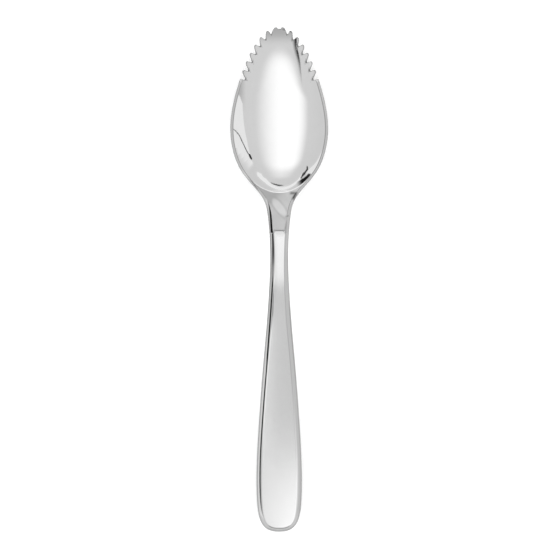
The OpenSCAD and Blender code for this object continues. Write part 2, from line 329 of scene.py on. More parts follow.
standing_board(
    "dark_rod_front", dark,
    [(-398, 452, 87, 108), (-398, 480, 67, 101), (-398, 498, 66, 88), (-368, 498, 69, 84),
     (-343, 498, 71, 86), (-318, 498, 78, 91), (-304, 498, 79, 92), (-270, 498, 73, 87)],
    [(0.3, hard, 0.1, 0.1)] + 5 * [(hard, hard, 0.05, 0.05)] + [(hard, 0.3, 0.05, 0.05)],
)
standing_board(
    "dark_block_front", dark,
    [(-398, 464, 0, 20), (-398, 496, 0, 44), (-384, 496, 0, 51), (-352, 496, 0, 60),
     (-315, 496, 0, 66), (-280, 496, 0, 73), (-190, 496, 0, 78)],
    [(0.3, hard, hard, 0.08)] + 4 * [(hard, hard, hard, 0.06)] + [(hard, 0.95, hard, 0.1)],
)
print("sheets and boards:", len(hung))

# %% [markdown]
# The blank is drawn as a maker would draw it: control points down the right
# side, each given as a share of the bowl's, the neck's or the handle's size, and
# one smooth spline past them. Everything else hangs on this line, and a length
# measured along it says where a tooth or the crease is.

# %% Sizes, in millimetres
spoon_len, arch_h = 165, 15.6
bowl_len, bowl_w, bowl_depth = 54, 31.8, 7.4
floor_t, rim_t, land_w, land_rise, heel_sweep = 1.6, 1.2, 0.9, 0.62, 4.8
tooth_count, tooth_pitch, tooth_depth, tooth_lean, tooth_t = 14, 3.1, 1.6, 0.7, 0.9
nose_gap, nose_cut, tooth_blunt, tooth_broad = 2.4, 0.6, 0.4, 0.4
tooth_reach, level_rim = 4.2, 0.3
neck_len, neck_w, neck_t, neck_bevel_w, neck_rise, crease_step = 12.5, 5.8, 3.9, 1.25, 0.75, 0.2
handle_w, handle_t, edge_t, bevel_w, panel_crown = 14.9, 2.4, 0.8, 1.65, 0.15

y_nose, y_end = spoon_len / 2, -spoon_len / 2
y_heel = y_nose - bowl_len
y_crease = y_heel - neck_len
handle_len = y_crease - y_end
half_bowl, half_neck, half_handle = bowl_w / 2, neck_w / 2, handle_w / 2
print("heel of the hollow at", y_heel, "crease at", y_crease)

# %% Outline
def mix(a, b, share):
    return a + (b - a) * share


bowl_shares = [
    (0.19, 0.006), (0.39, 0.058), (0.57, 0.138), (0.712, 0.233), (0.83, 0.333), (0.931, 0.437),
    (0.998, 0.54), (1.012, 0.643), (0.962, 0.745), (0.84, 0.85), (0.635, 0.93),
]
flare_shares = [(0.28, 0), (0.112, 0.27), (0.066, 0.56), (0.028, 0.93)]
shank_shares = [
    (0, 0.05), (0.005, 0.125), (0.09, 0.203), (0.22, 0.294), (0.42, 0.396), (0.61, 0.497),
    (0.77, 0.599), (0.9, 0.69), (0.985, 0.772), (1.005, 0.843),
]
end_shares = [(0.98, 1.275), (0.91, 0.671), (0.72, 0.235), (0.4, 0.02)]
side = (
    [(a * half_bowl, y_nose - b * bowl_len) for a, b in bowl_shares]
    + [(mix(half_neck, half_bowl, a), y_heel - b * neck_len) for a, b in flare_shares]
    + [(mix(half_neck, half_handle, a), y_crease - b * handle_len) for a, b in shank_shares]
    + [(a * half_handle, y_end + b * half_handle) for a, b in end_shares]
)
steer = np.array(
    [(-side[0][0], side[0][1]), (0, y_nose + (y_nose - side[0][1]) / 2)]
    + side
    + [(0, y_end - (side[-1][1] - y_end) / 2), (-side[-1][0], side[-1][1])]
)


def spline(points, t):
    """Cubic B-spline through a list of control points, at every t."""
    points = np.asarray(points, float)
    t = np.asarray(t, float)
    i = np.clip(np.floor(t).astype(int), 0, len(points) - 4)
    f = t - i
    pulls = [(1 - f) ** 3, 3 * f**3 - 6 * f**2 + 4, 1 + 3 * f + 3 * f**2 - 3 * f**3, f**3]
    if points.ndim == 2:
        pulls = [pull[..., None] for pull in pulls]
    return sum(pull * points[i + k] for k, pull in enumerate(pulls)) / 6


outline_steps = 9000
fine_t = np.linspace(0, len(steer) - 3, outline_steps + 1)
fine = spline(steer, fine_t)
fine_s = np.concatenate([[0], np.cumsum(np.hypot(*np.diff(fine, axis=0).T))])


def edge_at(s):
    """Point, direction of travel and outward normal of the outline at lengths s from the nose."""
    t = np.interp(s, fine_s, fine_t)
    step = 0.01
    travel = spline(steer, t + step) - spline(steer, t - step)
    travel /= np.linalg.norm(travel, axis=-1, keepdims=True)
    outward = np.stack([-travel[..., 1], travel[..., 0]], -1)
    return spline(steer, t), travel, outward


def length_at(y):
    """Length along the outline from the nose down to the height y in the picture."""
    return float(np.interp(y, fine[::-1, 1], fine_s[::-1]))


s_teeth = nose_gap / 2 + tooth_pitch * tooth_count / 2
s_sweep = length_at(y_heel + heel_sweep)
s_crease = length_at(y_crease)
s_end = float(fine_s[-1])
print("outline in mm: teeth end %.1f, crease %.1f, end %.1f" % (s_teeth, s_crease, s_end))

# %% [markdown]
# A spoon's dies give it its heights. Seen from above every point has a top and
# an underside: the edge rises and falls along the spoon in one smooth line, the
# land or the bevel climbs inwards from it, the bowl sinks in a parabola, and the
# underside bellies below. Sums for whole arrays of points are fast and smooth,
# and they are the same sums as in the construction model. Only the corners are
# rounder here, because light catches on them.

# %% Helpers that blend
def ease(a, b, v):
    """From 0 at a to 1 at b, level and without a jump in curvature at both ends."""
    share = np.clip((v - a) / (b - a), 0, 1)
    return share**3 * (10 - 15 * share + 6 * share**2)


def soft_floor(v, width):
    """The larger of v and 0, with its corner rounded over `width` on both sides."""
    middle = np.clip(v + width, 0, 2 * width) ** 2 / (4 * width)
    return np.where(v > width, v, middle)


print("half way from 0 to 1:", ease(0, 1, 0.5))

# %% Widths along the outline
settle_len = 0.25 * handle_len
bevel_end_share = 0.7


def bevel_w_at(s):
    return bevel_w * mix(1, bevel_end_share, ease(s_end - handle_w, s_end, s))


def band_w_at(s):
    """Width of the land, and past the crease of the bevel."""
    ahead = mix(land_w, neck_bevel_w, ease(s_sweep, s_crease, s))
    behind = mix(neck_bevel_w, bevel_w_at(s), ease(s_crease, s_crease + settle_len, s))
    return np.where(s < s_crease, ahead, behind)


heel_curl, heel_steps, sweep_steps = 0.17, 40, 3000
even_lead, even_step, even_count = 3, 0.05, 35
sweep_s = np.linspace(0, s_sweep, sweep_steps + 1)
sweep_edge, _, sweep_out = edge_at(sweep_s)
land_side = sweep_edge - land_w * sweep_out
past_nose = -np.interp(y_nose - 2 * land_w, land_side[::-1, 1], land_side[::-1, 0] ** 2)
heel_share = np.linspace(0, 1, heel_steps, endpoint=False)
heel_sq = land_side[-1, 0] ** 2 * heel_share * (1 + heel_curl * (1 - heel_share))
heel_y = mix(y_heel, land_side[-1, 1], heel_share)
hollow_y = np.concatenate([heel_y, land_side[::-1, 1], [y_nose]])
hollow_sq = np.concatenate([heel_sq, land_side[::-1, 0] ** 2, [past_nose]])

# A running mean rounds off the corner where the heel's curve meets the land's
even_y = np.arange(y_heel - even_lead, y_nose, even_step)
even_sq = np.interp(even_y, hollow_y, hollow_sq)
even_sq = np.pad(even_sq, even_count // 2, mode="reflect", reflect_type="odd")
weights = np.hanning(even_count)
hollow_y, hollow_sq = even_y, np.convolve(even_sq, weights / weights.sum(), mode="valid")
y_teeth = float(edge_at(s_teeth)[0][1])
print("hollow from y %.1f to %.1f" % (hollow_y[0], hollow_y[-1]))

# %% Heights along the spoon
rim_h = bowl_depth + floor_t - land_rise
arch_shares = (-0.17, 0.02, 0.2, 0.37, 0.53, 0.68, 0.81, 0.915, 0.98, 1, 0.965)
dip_shares, rim_shares = (0.74, 0.44, 0.19), (1, 0.9, 0.84, 0.83, 0.85)
edge_heights = (
    [mix(edge_t, arch_h, share) for share in arch_shares]
    + [mix(rim_h, arch_h, share) for share in dip_shares]
    + [rim_h * share for share in rim_shares]
)


def edge_h(y):
    return spline(edge_heights, (y - y_end) / spoon_len * (len(edge_heights) - 3))


def width_sq(y):
    """Square of half the spoon's width at y."""
    return np.interp(y, fine[::-1, 1], fine[::-1, 0] ** 2)


def hollow_sq_at(y):
    """Square of half the hollow's width at y, below zero past its ends."""
    return np.interp(y, hollow_y, hollow_sq)


def bare(y):
    """1 along the teeth, which have no land, and 0 along the rim."""
    return ease(y_teeth - land_w, y_teeth + land_w, y)


def rim_wall_h(y):
    """Wall below the edge's own line; the teeth stand above it, where no land was ground off."""
    climb = np.minimum(width_sq(y) - hollow_sq_at(y), bare(y) * half_bowl**2)
    lift = bowl_depth * climb / (half_bowl - land_w) ** 2
    thick = mix(rim_t, tooth_t, ease(y_nose - bowl_len / 2, y_teeth, y))
    return thick - land_rise * bare(y) - lift


def wall_h(y):
    return mix(edge_t, rim_wall_h(y), ease(y_crease, y_heel, y))


full_belly = bowl_depth + floor_t - land_rise - rim_t
neck_belly = neck_t - neck_rise - crease_step - edge_t
y_slim, y_fade = y_end / 2, y_heel + bowl_len / 4
nose_share, flat_power, tiny = 0.25, 4, 1e-9


def belly_at(y):
    """Depth of the underside's belly below the edge, for the bowl and then the handle."""
    share = width_sq(y) / half_bowl**2
    bowl = full_belly * share + (rim_t - rim_wall_h(y)) * ease(0, nose_share, share)
    handle = mix(edge_t, neck_belly, ease(y_slim, y_crease, y))
    handle = handle * (1 - np.exp((y_end - y) / edge_t / 2))
    return bowl * ease(y_crease, y_heel, y) + handle * (1 - ease(y_crease, y_fade, y))


def under_h(x, y):
    """Height of the underside. The power makes the handle's flat in its middle."""
    across = np.minimum(1, x * x / np.maximum(width_sq(y), tiny))
    power = mix(flat_power, 1, ease(y_slim, y_crease, y))
    return edge_h(y) - wall_h(y) - belly_at(y) * (1 - across**power)


heel_round, crease_round, crease_fall = 2.0, 0.8, 0.3
land_corner, bevel_corner = 0.06, 0.12
land_bow, bevel_bow = 0.1, 0.25
inner_neck, hollow_stop = half_neck - neck_bevel_w, y_crease + 1


def top_h(x, y, band):
    """Height of the top, where band runs from 0 on the outline to 1 on the band's inner side."""
    in_bowl = ease(y_crease, y_heel, y)
    inner = 1 - soft_floor(1 - band, mix(bevel_corner, land_corner, in_bowl))
    inner = inner + mix(bevel_bow, land_bow, in_bowl) * inner * (1 - inner)
    corner = np.clip((np.abs(x) - inner_neck + crease_round) / crease_round, 0, 1)
    y_step = y_crease - crease_round * (1 - np.sqrt(1 - corner**2)) + crease_fall / 2
    face = mix(neck_rise, land_rise, ease(y_crease, y_heel + heel_sweep, y))
    panel = mix(neck_rise, handle_t - 2 * edge_t - crease_step, ease(y_crease, y_end, y))
    rise = np.where(y > y_crease, face, panel) + crease_step * ease(0, crease_fall, y_step - y)
    limit = -bare(y) * half_bowl**2
    sink = limit + soft_floor(hollow_sq_at(y) - x * x - limit, heel_round)
    hollow = bowl_depth * sink / (half_bowl - land_w) ** 2 * (y > hollow_stop)
    crown = panel_crown * np.clip(1 - x * x / np.maximum(width_sq(y), tiny), 0, 1)
    crown = crown * ease(y_crease, y_crease - settle_len, y)
    return edge_h(y) + rise * mix(inner, 1, bare(y)) - hollow + crown


seat_steps = 2000
seat_y = [
    np.linspace(start, stop, seat_steps + 1)
    for start, stop in ((y_heel, y_nose), (y_end, y_end + half_handle))
]
seat = [(ys[np.argmin(hs)], hs.min()) for ys, hs in ((ys, under_h(0 * ys, ys)) for ys in seat_y)]


def seat_h(y):
    """The line through the lowest points of bowl and handle, which touch the table."""
    (bowl_y, bowl_z), (handle_y, handle_z) = seat
    return mix(handle_z, bowl_z, (y - handle_y) / (bowl_y - handle_y))


print("the spoon touches the table at y =", [round(float(y), 1) for y, _ in seat])

# %% [markdown]
# The blank is a net of ribs. Each rib starts on the outline, crosses the land or
# the bevel and swings to the middle line, so the net's lines follow the spoon's
# own lines: one lies on the rim's land, one in the heel and one in the crease.
# The top layer and the underside share one plan, and the rim joins them. It is
# still flat here, a piece of sheet before the press.

# %% Ribs of the blank
def spread(start, stop, step):
    """Evenly spaced values from start up to, but without, stop, about `step` apart."""
    count = max(2, int(round(abs(stop - start) / step)) + 1)
    return np.linspace(start, stop, count)[:-1]


y_fan = y_end + 1.6 * handle_w
s_fan = length_at(y_fan)
near, square_len = 0.9, 3

# Lengths along the outline where a stretch of ribs starts, and the ribs' distance there
stretches = [
    (0, 0.155), (s_teeth, 0.3), (s_sweep - near, 0.12), (s_sweep + near, 0.3),
    (s_crease - near, 0.06), (s_crease + near, 0.45), (s_fan, 0.28),
]
stops = [start for start, _ in stretches[1:]] + [s_end]
stations = np.concatenate(
    [spread(start, stop, step) for (start, step), stop in zip(stretches, stops)] + [[s_end]]
)

# Where the ribs from these lengths meet the middle line
spine_stops = [
    (0, y_nose - 0.36 * bowl_len), (0.7 * s_sweep, y_nose - 0.675 * bowl_len), (s_sweep, y_heel),
    (s_crease, y_crease), (s_fan, y_fan), (s_end, y_end + 0.45 * handle_w),
]
to_spine = np.interp(stations, *zip(*spine_stops))
edge, travel, outward = edge_at(stations)
squareness = 1 - ease(0, square_len, np.abs(stations - s_crease))
outward = mix(outward, np.array([1.0, 0.0]), squareness[:, None])
outward /= np.linalg.norm(outward, axis=1, keepdims=True)
edge[0, 0] = edge[-1, 0] = 0
band = band_w_at(stations)
inner = edge - band[:, None] * outward

band_shares = np.array([0, 0.16, 0.32, 0.48, 0.62, 0.74, 0.83, 0.9, 0.95, 1.0])
reach_shares = np.concatenate([[0.996, 0.99, 0.98, 0.966, 0.948], np.linspace(0.925, 0, 26)])
plan, band_share = [], []
for share in band_shares:
    plan.append(edge - (share * band)[:, None] * outward)
    band_share.append(np.full(len(stations), share))
for share in reach_shares:
    across = np.stack([inner[:, 0] * share, mix(to_spine, inner[:, 1], share**2)], 1)
    plan.append(across)
    band_share.append(1 + np.linalg.norm(across - inner, axis=1) / band)
plan, band_share = np.array(plan), np.array(band_share)
plan[-1, :, 0] = 0
columns, ribs = plan.shape[:2]
print(columns, "points on each of", ribs, "ribs")

# %% Flat blank
corner_turns = np.radians([0, 22.5, 45, 67.5])
wall_shares = (0.35, 0.65)

# The underside is plainer than the top, so half of its columns are enough
below_columns = list(range(columns - 1, len(band_shares) - 1, -2)) + [6, 3, 0]

# Rows of the net from the middle line below, out round the rim, to the middle line on top
net = (
    [("below", column) for column in below_columns]
    + [("corner_below", turn) for turn in corner_turns[::-1]]
    + [("wall", share) for share in wall_shares]
    + [("corner", turn) for turn in corner_turns]
    + [("top", column) for column in range(columns)]
)
net_columns = [value if kind in ("top", "below") else 0 for kind, value in net]
right_plan = plan[net_columns]
right_inward = (band_share * band)[net_columns]
row_count = len(net)
right_count = row_count * ribs
index = np.arange(right_count).reshape(row_count, ribs)
on_spine = np.zeros((row_count, ribs), bool)
on_spine[:, [0, -1]] = on_spine[[0, -1]] = True

# The left side shares the points on the middle line and has its own everywhere else
mirrored = np.where(on_spine, index, 0)
mirrored[~on_spine] = right_count + np.arange((~on_spine).sum())


def quads(net_index, turned):
    """Faces between the points of a net, the other way round where it is turned."""
    a, b = net_index[:-1, :-1], net_index[:-1, 1:]
    c, d = net_index[1:, 1:], net_index[1:, :-1]
    order = (a, d, c, b) if turned else (a, b, c, d)
    return np.stack([q.ravel() for q in order], 1)


def both_sides(right, left=None, mirror=1):
    """Values of all points: the right side's, then those of the left side off the middle line."""
    left = right if left is None else left
    return np.concatenate([right.reshape(right_count, *right.shape[2:]), left[~on_spine] * mirror])


faces = np.concatenate([quads(index, True), quads(mirrored, False)])
flat_xy = both_sides(right_plan, mirror=(-1, 1))
blank = bpy.data.meshes.new("spoon")
blank.from_pydata(
    np.column_stack([flat_xy * MM, np.zeros(len(flat_xy))]).tolist(), [], faces.tolist()
)
spoon = bpy.data.objects.new("spoon", blank)
bpy.context.collection.objects.link(spoon)
print("blank:", len(flat_xy), "points,", len(faces), "faces")

# %% What each point knows
def keep(mesh, name, values):
    """Keep one value or one arrow at each point of a mesh."""
    kind, field = ("FLOAT", "value") if values.ndim == 1 else ("FLOAT_VECTOR", "vector")
    made = mesh.attributes.new(name, kind, "POINT")
    made.data.foreach_set(field, values.ravel().astype(np.float32))


def on_all_rows(values):
    """The same values for each row of the net, with a zero height where they are arrows."""
    if values.ndim == 2:
        values = np.column_stack([values, np.zeros(ribs)])
    return np.broadcast_to(values, (row_count,) + values.shape)


keep(blank, "from_nose", both_sides(on_all_rows(stations)) * MM)
keep(blank, "from_rim", both_sides(right_inward) * MM)
keep(blank, "outward", both_sides(on_all_rows(outward), mirror=(-1, 1, 1)))
keep(blank, "travel", both_sides(on_all_rows(travel), mirror=(-1, 1, 1)))
print("each point keeps from_nose, from_rim, outward and travel")

# %% [markdown]
# The teeth repeat along the rim, so Geometry Nodes cut them. The tree draws a
# wave along the length from the nose, one full wave for each tooth, and pushes
# the rim inwards by it. The notches lean backwards, which makes one flank of
# each tooth steep, and the push fades out a few millimetres inside the rim. The
# sizes are named inputs, so another spoon could have finer or deeper teeth.

# %% Tree that cuts the teeth
tree = bpy.data.node_groups.new("cut_teeth", "GeometryNodeTree")
tree.interface.new_socket("Geometry", in_out="INPUT", socket_type="NodeSocketGeometry")
tooth_sizes = {
    "Tooth count": tooth_count,
    "Tooth pitch": tooth_pitch * MM,
    "Tooth depth": tooth_depth * MM,
    "Tooth lean": tooth_lean * MM,
    "Bluntness": tooth_blunt,
    "Broadness": tooth_broad,
    "Nose gap": nose_gap * MM,
    "Nose cut": nose_cut * MM,
    "Reach": tooth_reach * MM,
    "Level rim": level_rim * MM,
}
for name in tooth_sizes:
    tree.interface.new_socket(name, in_out="INPUT", socket_type="NodeSocketFloat")
tree.interface.new_socket("Steel", in_out="INPUT", socket_type="NodeSocketMaterial")
tree.interface.new_socket("Geometry", in_out="OUTPUT", socket_type="NodeSocketGeometry")
size_in = tree.nodes.new("NodeGroupInput")
size_out = tree.nodes.new("NodeGroupOutput")
size = size_in.outputs


def sum_node(operation, *values):
    return math_node(tree, operation, *values)


def arrow_node(operation, *values):
    """One Vector Math node; the last value of SCALE is a number."""
    node = tree.nodes.new("ShaderNodeVectorMath")
    node.operation = operation
    sockets = [node.inputs[0], node.inputs["Scale"]] if operation == "SCALE" else node.inputs
    for value, socket in zip(values, sockets):
        wire(tree, value, socket)
    return node.outputs[0]


def kept(name, kind):
    """One value that the blank carries at each point."""
    node = tree.nodes.new("GeometryNodeInputNamedAttribute")
    node.data_type = kind
    node.inputs["Name"].default_value = name
    return node.outputs[0]


def blunted(wave):
    """The wave with blunter tips and roots, and with notches narrower than the teeth."""
    squared = sum_node("MULTIPLY", wave, wave)
    cubic = sum_node("SUBTRACT", 3.0, sum_node("MULTIPLY", wave, 2.0))
    eased = sum_node("MULTIPLY", squared, cubic)
    more = sum_node("MULTIPLY", sum_node("SUBTRACT", eased, wave), size["Bluntness"])
    blunter = sum_node("ADD", wave, more)
    narrow = sum_node("SUBTRACT", sum_node("MULTIPLY", blunter, blunter), blunter)
    return sum_node("ADD", blunter, sum_node("MULTIPLY", narrow, size["Broadness"]))


def wave_of(turns):
    """Half a cosine wave: 0 at whole turns and 1 between them."""
    swing = sum_node("COSINE", sum_node("MULTIPLY", turns, 2 * math.pi))
    return sum_node("MULTIPLY", sum_node("SUBTRACT", 1.0, swing), 0.5)


print("named sizes of the tree:", ", ".join(tooth_sizes))

# %% Wave of the teeth
from_nose, from_rim = kept("from_nose", "FLOAT"), kept("from_rim", "FLOAT")
half_gap = sum_node("MULTIPLY", size["Nose gap"], 0.5)
turns = sum_node("DIVIDE", sum_node("SUBTRACT", from_nose, half_gap), size["Tooth pitch"])
last_turn = sum_node("MULTIPLY", size["Tooth count"], 0.5)
toothed = sum_node(
    "MULTIPLY", sum_node("GREATER_THAN", turns, 0.0), sum_node("LESS_THAN", turns, last_turn)
)
side_notch = sum_node("MULTIPLY", blunted(wave_of(turns)), size["Tooth depth"])
side_notch = sum_node("MULTIPLY", side_notch, toothed)
nose_turns = sum_node("ADD", sum_node("DIVIDE", from_nose, size["Nose gap"]), 0.5)
nose_notch = sum_node("MULTIPLY", blunted(wave_of(nose_turns)), size["Nose cut"])
nose_notch = sum_node("MULTIPLY", nose_notch, sum_node("LESS_THAN", turns, 0.0))
notch = sum_node("ADD", side_notch, nose_notch)
fade = ramp_node(tree, from_rim, size["Reach"], size["Level rim"])
push = sum_node("MULTIPLY", notch, fade)
lean = sum_node("DIVIDE", size["Tooth lean"], size["Tooth depth"])
sideways = arrow_node("SCALE", kept("travel", "FLOAT_VECTOR"), sum_node("MULTIPLY", push, lean))
inwards = arrow_node("SCALE", kept("outward", "FLOAT_VECTOR"), sum_node("MULTIPLY", push, -1.0))
print("the tree's sums:", len(tree.nodes), "nodes")

# %% Teeth
steel = bpy.data.materials.new("polished_steel")
move = tree.nodes.new("GeometryNodeSetPosition")
realize = tree.nodes.new("GeometryNodeRealizeInstances")
coat = tree.nodes.new("GeometryNodeSetMaterial")
wire(tree, size["Geometry"], move.inputs["Geometry"])
wire(tree, arrow_node("ADD", inwards, sideways), move.inputs["Offset"])
wire(tree, move.outputs[0], realize.inputs[0])
wire(tree, realize.outputs[0], coat.inputs["Geometry"])
wire(tree, size["Steel"], coat.inputs["Material"])
wire(tree, coat.outputs[0], size_out.inputs[0])

cutter = spoon.modifiers.new("teeth", "NODES")
cutter.node_group = tree
given = {**{name: float(value) for name, value in tooth_sizes.items()}, "Steel": steel}
for item in tree.interface.items_tree:
    if item.in_out == "INPUT" and item.name in given:
        cutter[item.identifier] = given[item.name]
bpy.context.view_layer.update()
cut = bpy.data.meshes.new_from_object(spoon.evaluated_get(bpy.context.evaluated_depsgraph_get()))
spoon.modifiers.remove(cutter)
spoon.data = cut
cut.name = "spoon"
cut_at = np.empty(len(cut.vertices) * 3)
cut.vertices.foreach_get("co", cut_at)
cut_xy = cut_at.reshape(-1, 3)[:, :2] / MM
print("deepest notch in mm: %.2f" % np.linalg.norm(cut_xy - flat_xy, axis=1).max())

# %% [markdown]
# Now the press closes. Every point of the blank gets its height from the sums
# above. The rim is worked last: its upper and lower corners are rolled round a
# small arc, which is square to the rim and much finer in the teeth, as a
# polishing wheel leaves them.

# %% Pressing
tooth_corner_r, rim_corner_r = 0.09, 0.22
corner_from, corner_to = s_teeth - 0.2, s_teeth + 1.5
net_xy = cut_xy[:right_count].reshape(row_count, ribs, 2)

# The cut edge in plan, and the direction square to it at each rib
rim = net_xy[[kind for kind, _ in net].index("wall")]
ahead, behind = np.roll(rim, -1, 0), np.roll(rim, 1, 0)
ahead[-1], behind[0] = rim[-2] * (-1, 1), rim[1] * (-1, 1)
run = ahead - behind
square_out = np.stack([-run[:, 1], run[:, 0]], 1) / np.linalg.norm(run, axis=1)[:, None]

rim_top, rim_under = top_h(*rim.T, 0), under_h(*rim.T)
corner_r = mix(tooth_corner_r, rim_corner_r, ease(corner_from, corner_to, stations))
base_band = band_share[net_columns]

points = np.empty((row_count, ribs, 3))
for k, (kind, value) in enumerate(net):
    xy = net_xy[k].copy()
    if kind == "wall":
        high = mix(rim_under, rim_top, value)
    elif kind in ("corner", "corner_below"):
        xy -= (corner_r * (1 - np.cos(value)))[:, None] * square_out
        rolled = corner_r * (1 - np.sin(value))
        high = rim_top - rolled if kind == "corner" else rim_under + rolled
    else:
        if value == 0:
            xy -= corner_r[:, None] * square_out
        high = top_h(*xy.T, base_band[k]) if kind == "top" else under_h(*xy.T)
    points[k, :, :2], points[k, :, 2] = xy, high - seat_h(xy[:, 1])
points[on_spine, 0] = 0
pressed = both_sides(points, mirror=(-1, 1, 1))
cut.vertices.foreach_set("co", (pressed * MM).ravel())
cut.update()
print("pressed box in mm:", pressed.min(0).round(2), pressed.max(0).round(2))
rim_thick = rim_top - rim_under
print("edge thickness in mm: %.2f to %.2f" % (rim_thick.min(), rim_thick.max()))

# %% [markdown]
# A mirror shows every line where two surfaces meet, and no polish is the same
# all over. Each point of the skin keeps four shares, which the steel's nodes read
# later. One marks the ground land and bevels, which are a little rougher and get a
# darker tone, a painted grey for what they reflect. One holds painted dark lines
# along the edges and painted shade in corners, on the nose and on the panel. One
# marks the satin of the handle's panel, and one the dull haze on the neck, which
# also darkens its tone as painted shade and a painted reflection. A share of more
# than 1 counts as 1, which makes a line broader. Places and widths are in
# millimetres.

# %% Painted dark lines along the edges
def line(off, width):
    """1 on a line and next to 0 from twice its width off it."""
    return np.exp(-((off / width) ** 2))


x_rows, y_rows = net_xy[:, :, 0], net_xy[:, :, 1]
on_top = np.array([kind in ("top", "corner", "wall") for kind, _ in net])[:, None]
toothed_rows, off_band = bare(y_rows), (base_band - 1) * band

# Dark lines painted into the steel's tone on the inner side of the land and the bevels, at the
# crease's step and at the foot, for dark things that the edges reflect
bevel_line_w, land_line_w, bevel_line_share = 0.2, 0.12, 0.25
line_w = mix(bevel_line_w, land_line_w, ease(y_crease, y_heel + heel_sweep, y_rows))
land_line = line(off_band, line_w) * (1 - toothed_rows)
land_line *= mix(bevel_line_share, 1, ease(y_crease - 2, y_heel + heel_sweep, y_rows))
step_w, foot_w, foot_line_x = 0.32, 0.16, (4.5, 2.5)
step_line = line(y_crease - y_rows, step_w) * ease(1, 1.1, base_band)
foot_line = line(off_band, foot_w) * ease(y_end + 3, y_end + 2, y_rows)
foot_line *= ease(*foot_line_x, x_rows)

# Painted dark lines along the teeth, painted shade in the roots of the notches and painted shade
# on the nose
tooth_line_w, root_w, root_share, root_limit, nose_dark = 0.3, 0.5, 1.5, 1.3, 0.5
notch_wave = (1 - np.cos(2 * math.pi * (stations - nose_gap / 2) / tooth_pitch)) / 2
notch_wave = notch_wave * (stations > nose_gap / 2)
root_spot = root_share * notch_wave**6 * line(right_inward, root_w)
tooth_line = np.minimum(root_limit, line(right_inward, tooth_line_w) + root_spot) * toothed_rows
nose_shade = nose_dark * ease(y_nose - 6.5, y_nose - 1, y_rows)
plain_lines = on_top * np.maximum.reduce(
    [land_line, step_line, foot_line, tooth_line, nose_shade]
)

# The room differs from side to side, so each side has painted dark lines that the other lacks
side_line_w, right_root_w, right_line_share = 0.3, 0.9, 0.7
right_line_y, left_line_y = (22, 16.6), (-6, 12)
right_roots = on_top * notch_wave**3 * line(right_inward, right_root_w) * toothed_rows
right_line = right_line_share * line(off_band, side_line_w) * ease(*right_line_y, y_rows)
right_line *= on_top * ease(y_crease - 2, y_crease, y_rows)
left_line = on_top * line(off_band, side_line_w) * ease(*left_line_y, y_rows)
left_line *= y_rows < y_crease
edge_lines = both_sides(
    np.maximum.reduce([plain_lines, right_roots, right_line]), np.maximum(plain_lines, left_line)
)
print("strongest line: %.2f" % edge_lines.max())

# %% Painted dark marks on the neck and painted shade on the panel
# Two dark marks painted on the neck: a curved line near the heel and a short dash nearer the
# crease
heel_dark_path, heel_dark_w = [(3.9, 28.2), (5.4, 28.2), (4.6, 26.6)], 0.44
neck_dash_path, neck_dash_w, neck_dash_share = [(2.3, 20.6), (2.8, 20.8)], 0.3, 0.6


def off_path(points, path):
    """Distance of points from a path of straight runs."""
    far = np.full(len(points), np.inf)
    for a, b in zip(np.array(path[:-1]), np.array(path[1:])):
        along = np.clip((points - a) @ (b - a) / ((b - a) @ (b - a)), 0, 1)
        far = np.minimum(far, np.linalg.norm(points - a - along[:, None] * (b - a), axis=1))
    return far


pressed_xy = pressed[:, :2]
pressed_x, pressed_y = pressed_xy.T
top_points = both_sides(np.broadcast_to(on_top, (row_count, ribs)))
heel_dark_line = top_points * line(off_path(pressed_xy, heel_dark_path), heel_dark_w)
neck_dash_line = neck_dash_share * top_points * line(off_path(pressed_xy, neck_dash_path), neck_dash_w)

# Painted shade on the handle's panel: on its left side and just behind the crease, and a faint
# band across it a little further back
panel_dark, fall_dark = 0.28, 0.09
panel_side_x, panel_side_y = (0.2, -2.6), (-10, 3)
fall_rear_y, fall_front_y = (-16, -2), (22, 4)
panel_side = ease(*panel_side_x, pressed_x) * ease(*panel_side_y, pressed_y)
panel_front = ease(y_crease - 3, y_crease, pressed_y)
panel_fall = ease(*fall_front_y, pressed_y) * ease(*fall_rear_y, pressed_y)
panel_shade = panel_dark * np.maximum(panel_side, panel_front) + fall_dark * panel_fall
panel_shade *= both_sides(on_top * ease(1, 1.2, base_band) * (y_rows < y_crease))
# All painted dark lines and painted shade go into one share, which darkens the steel's tone
keep(cut, "crease", np.maximum.reduce([edge_lines, heel_dark_line, neck_dash_line, panel_shade]))
print("darkest shade on the panel: %.2f" % panel_shade.max())

# %% Ground land and bevels with painted grey, and satin
foot_share = 0.75
to_foot = ease(y_end + 9, y_end + 2, y_rows)
# The land and the bevels are ground, a little rougher than the mirror, and their tone is darker as
# a painted grey for the grey they reflect; less of it towards the foot
ground_and_grey_grid = on_top * (1 - ease(0.97, 1.03, base_band)) * (1 - toothed_rows)
satin_grid = on_top * ease(1, 1.25, base_band) * ease(y_crease + 0.1, y_crease - 0.3, y_rows)
keep(cut, "ground_and_painted_grey", both_sides(ground_and_grey_grid * (1 - foot_share * to_foot)))
keep(cut, "satin", both_sides(satin_grid))
print("points with some satin:", int((both_sides(satin_grid) > 0).sum()))

# %% Haze and painted shade on the neck
# The neck's polish is dull, which makes it rougher; its tone is also darker as painted shade, with
# a painted reflection of a swirl and painted shade in the notches' roots
neck_haze_and_shade, swirl_core_lightens, swirl_rim_darkens, corner_shade_adds, root_haze_and_shade = 0.8, 0.14, 0.09, 0.3, 0.6
reflected_swirl_turn, reflected_swirl_middle, reflected_swirl_reach = math.radians(-52), (0.0, 23.6), (3.7, 1.25)
reflected_swirl_core, reflected_swirl_rim, reflected_swirl_rim_w = (1.15, 0.7), 1.25, 0.22
corner_y, corner_slant = (25, 31), 0.9
hollow_lead_sq, hollow_fall_sq, past_heel = 3, 12, 30

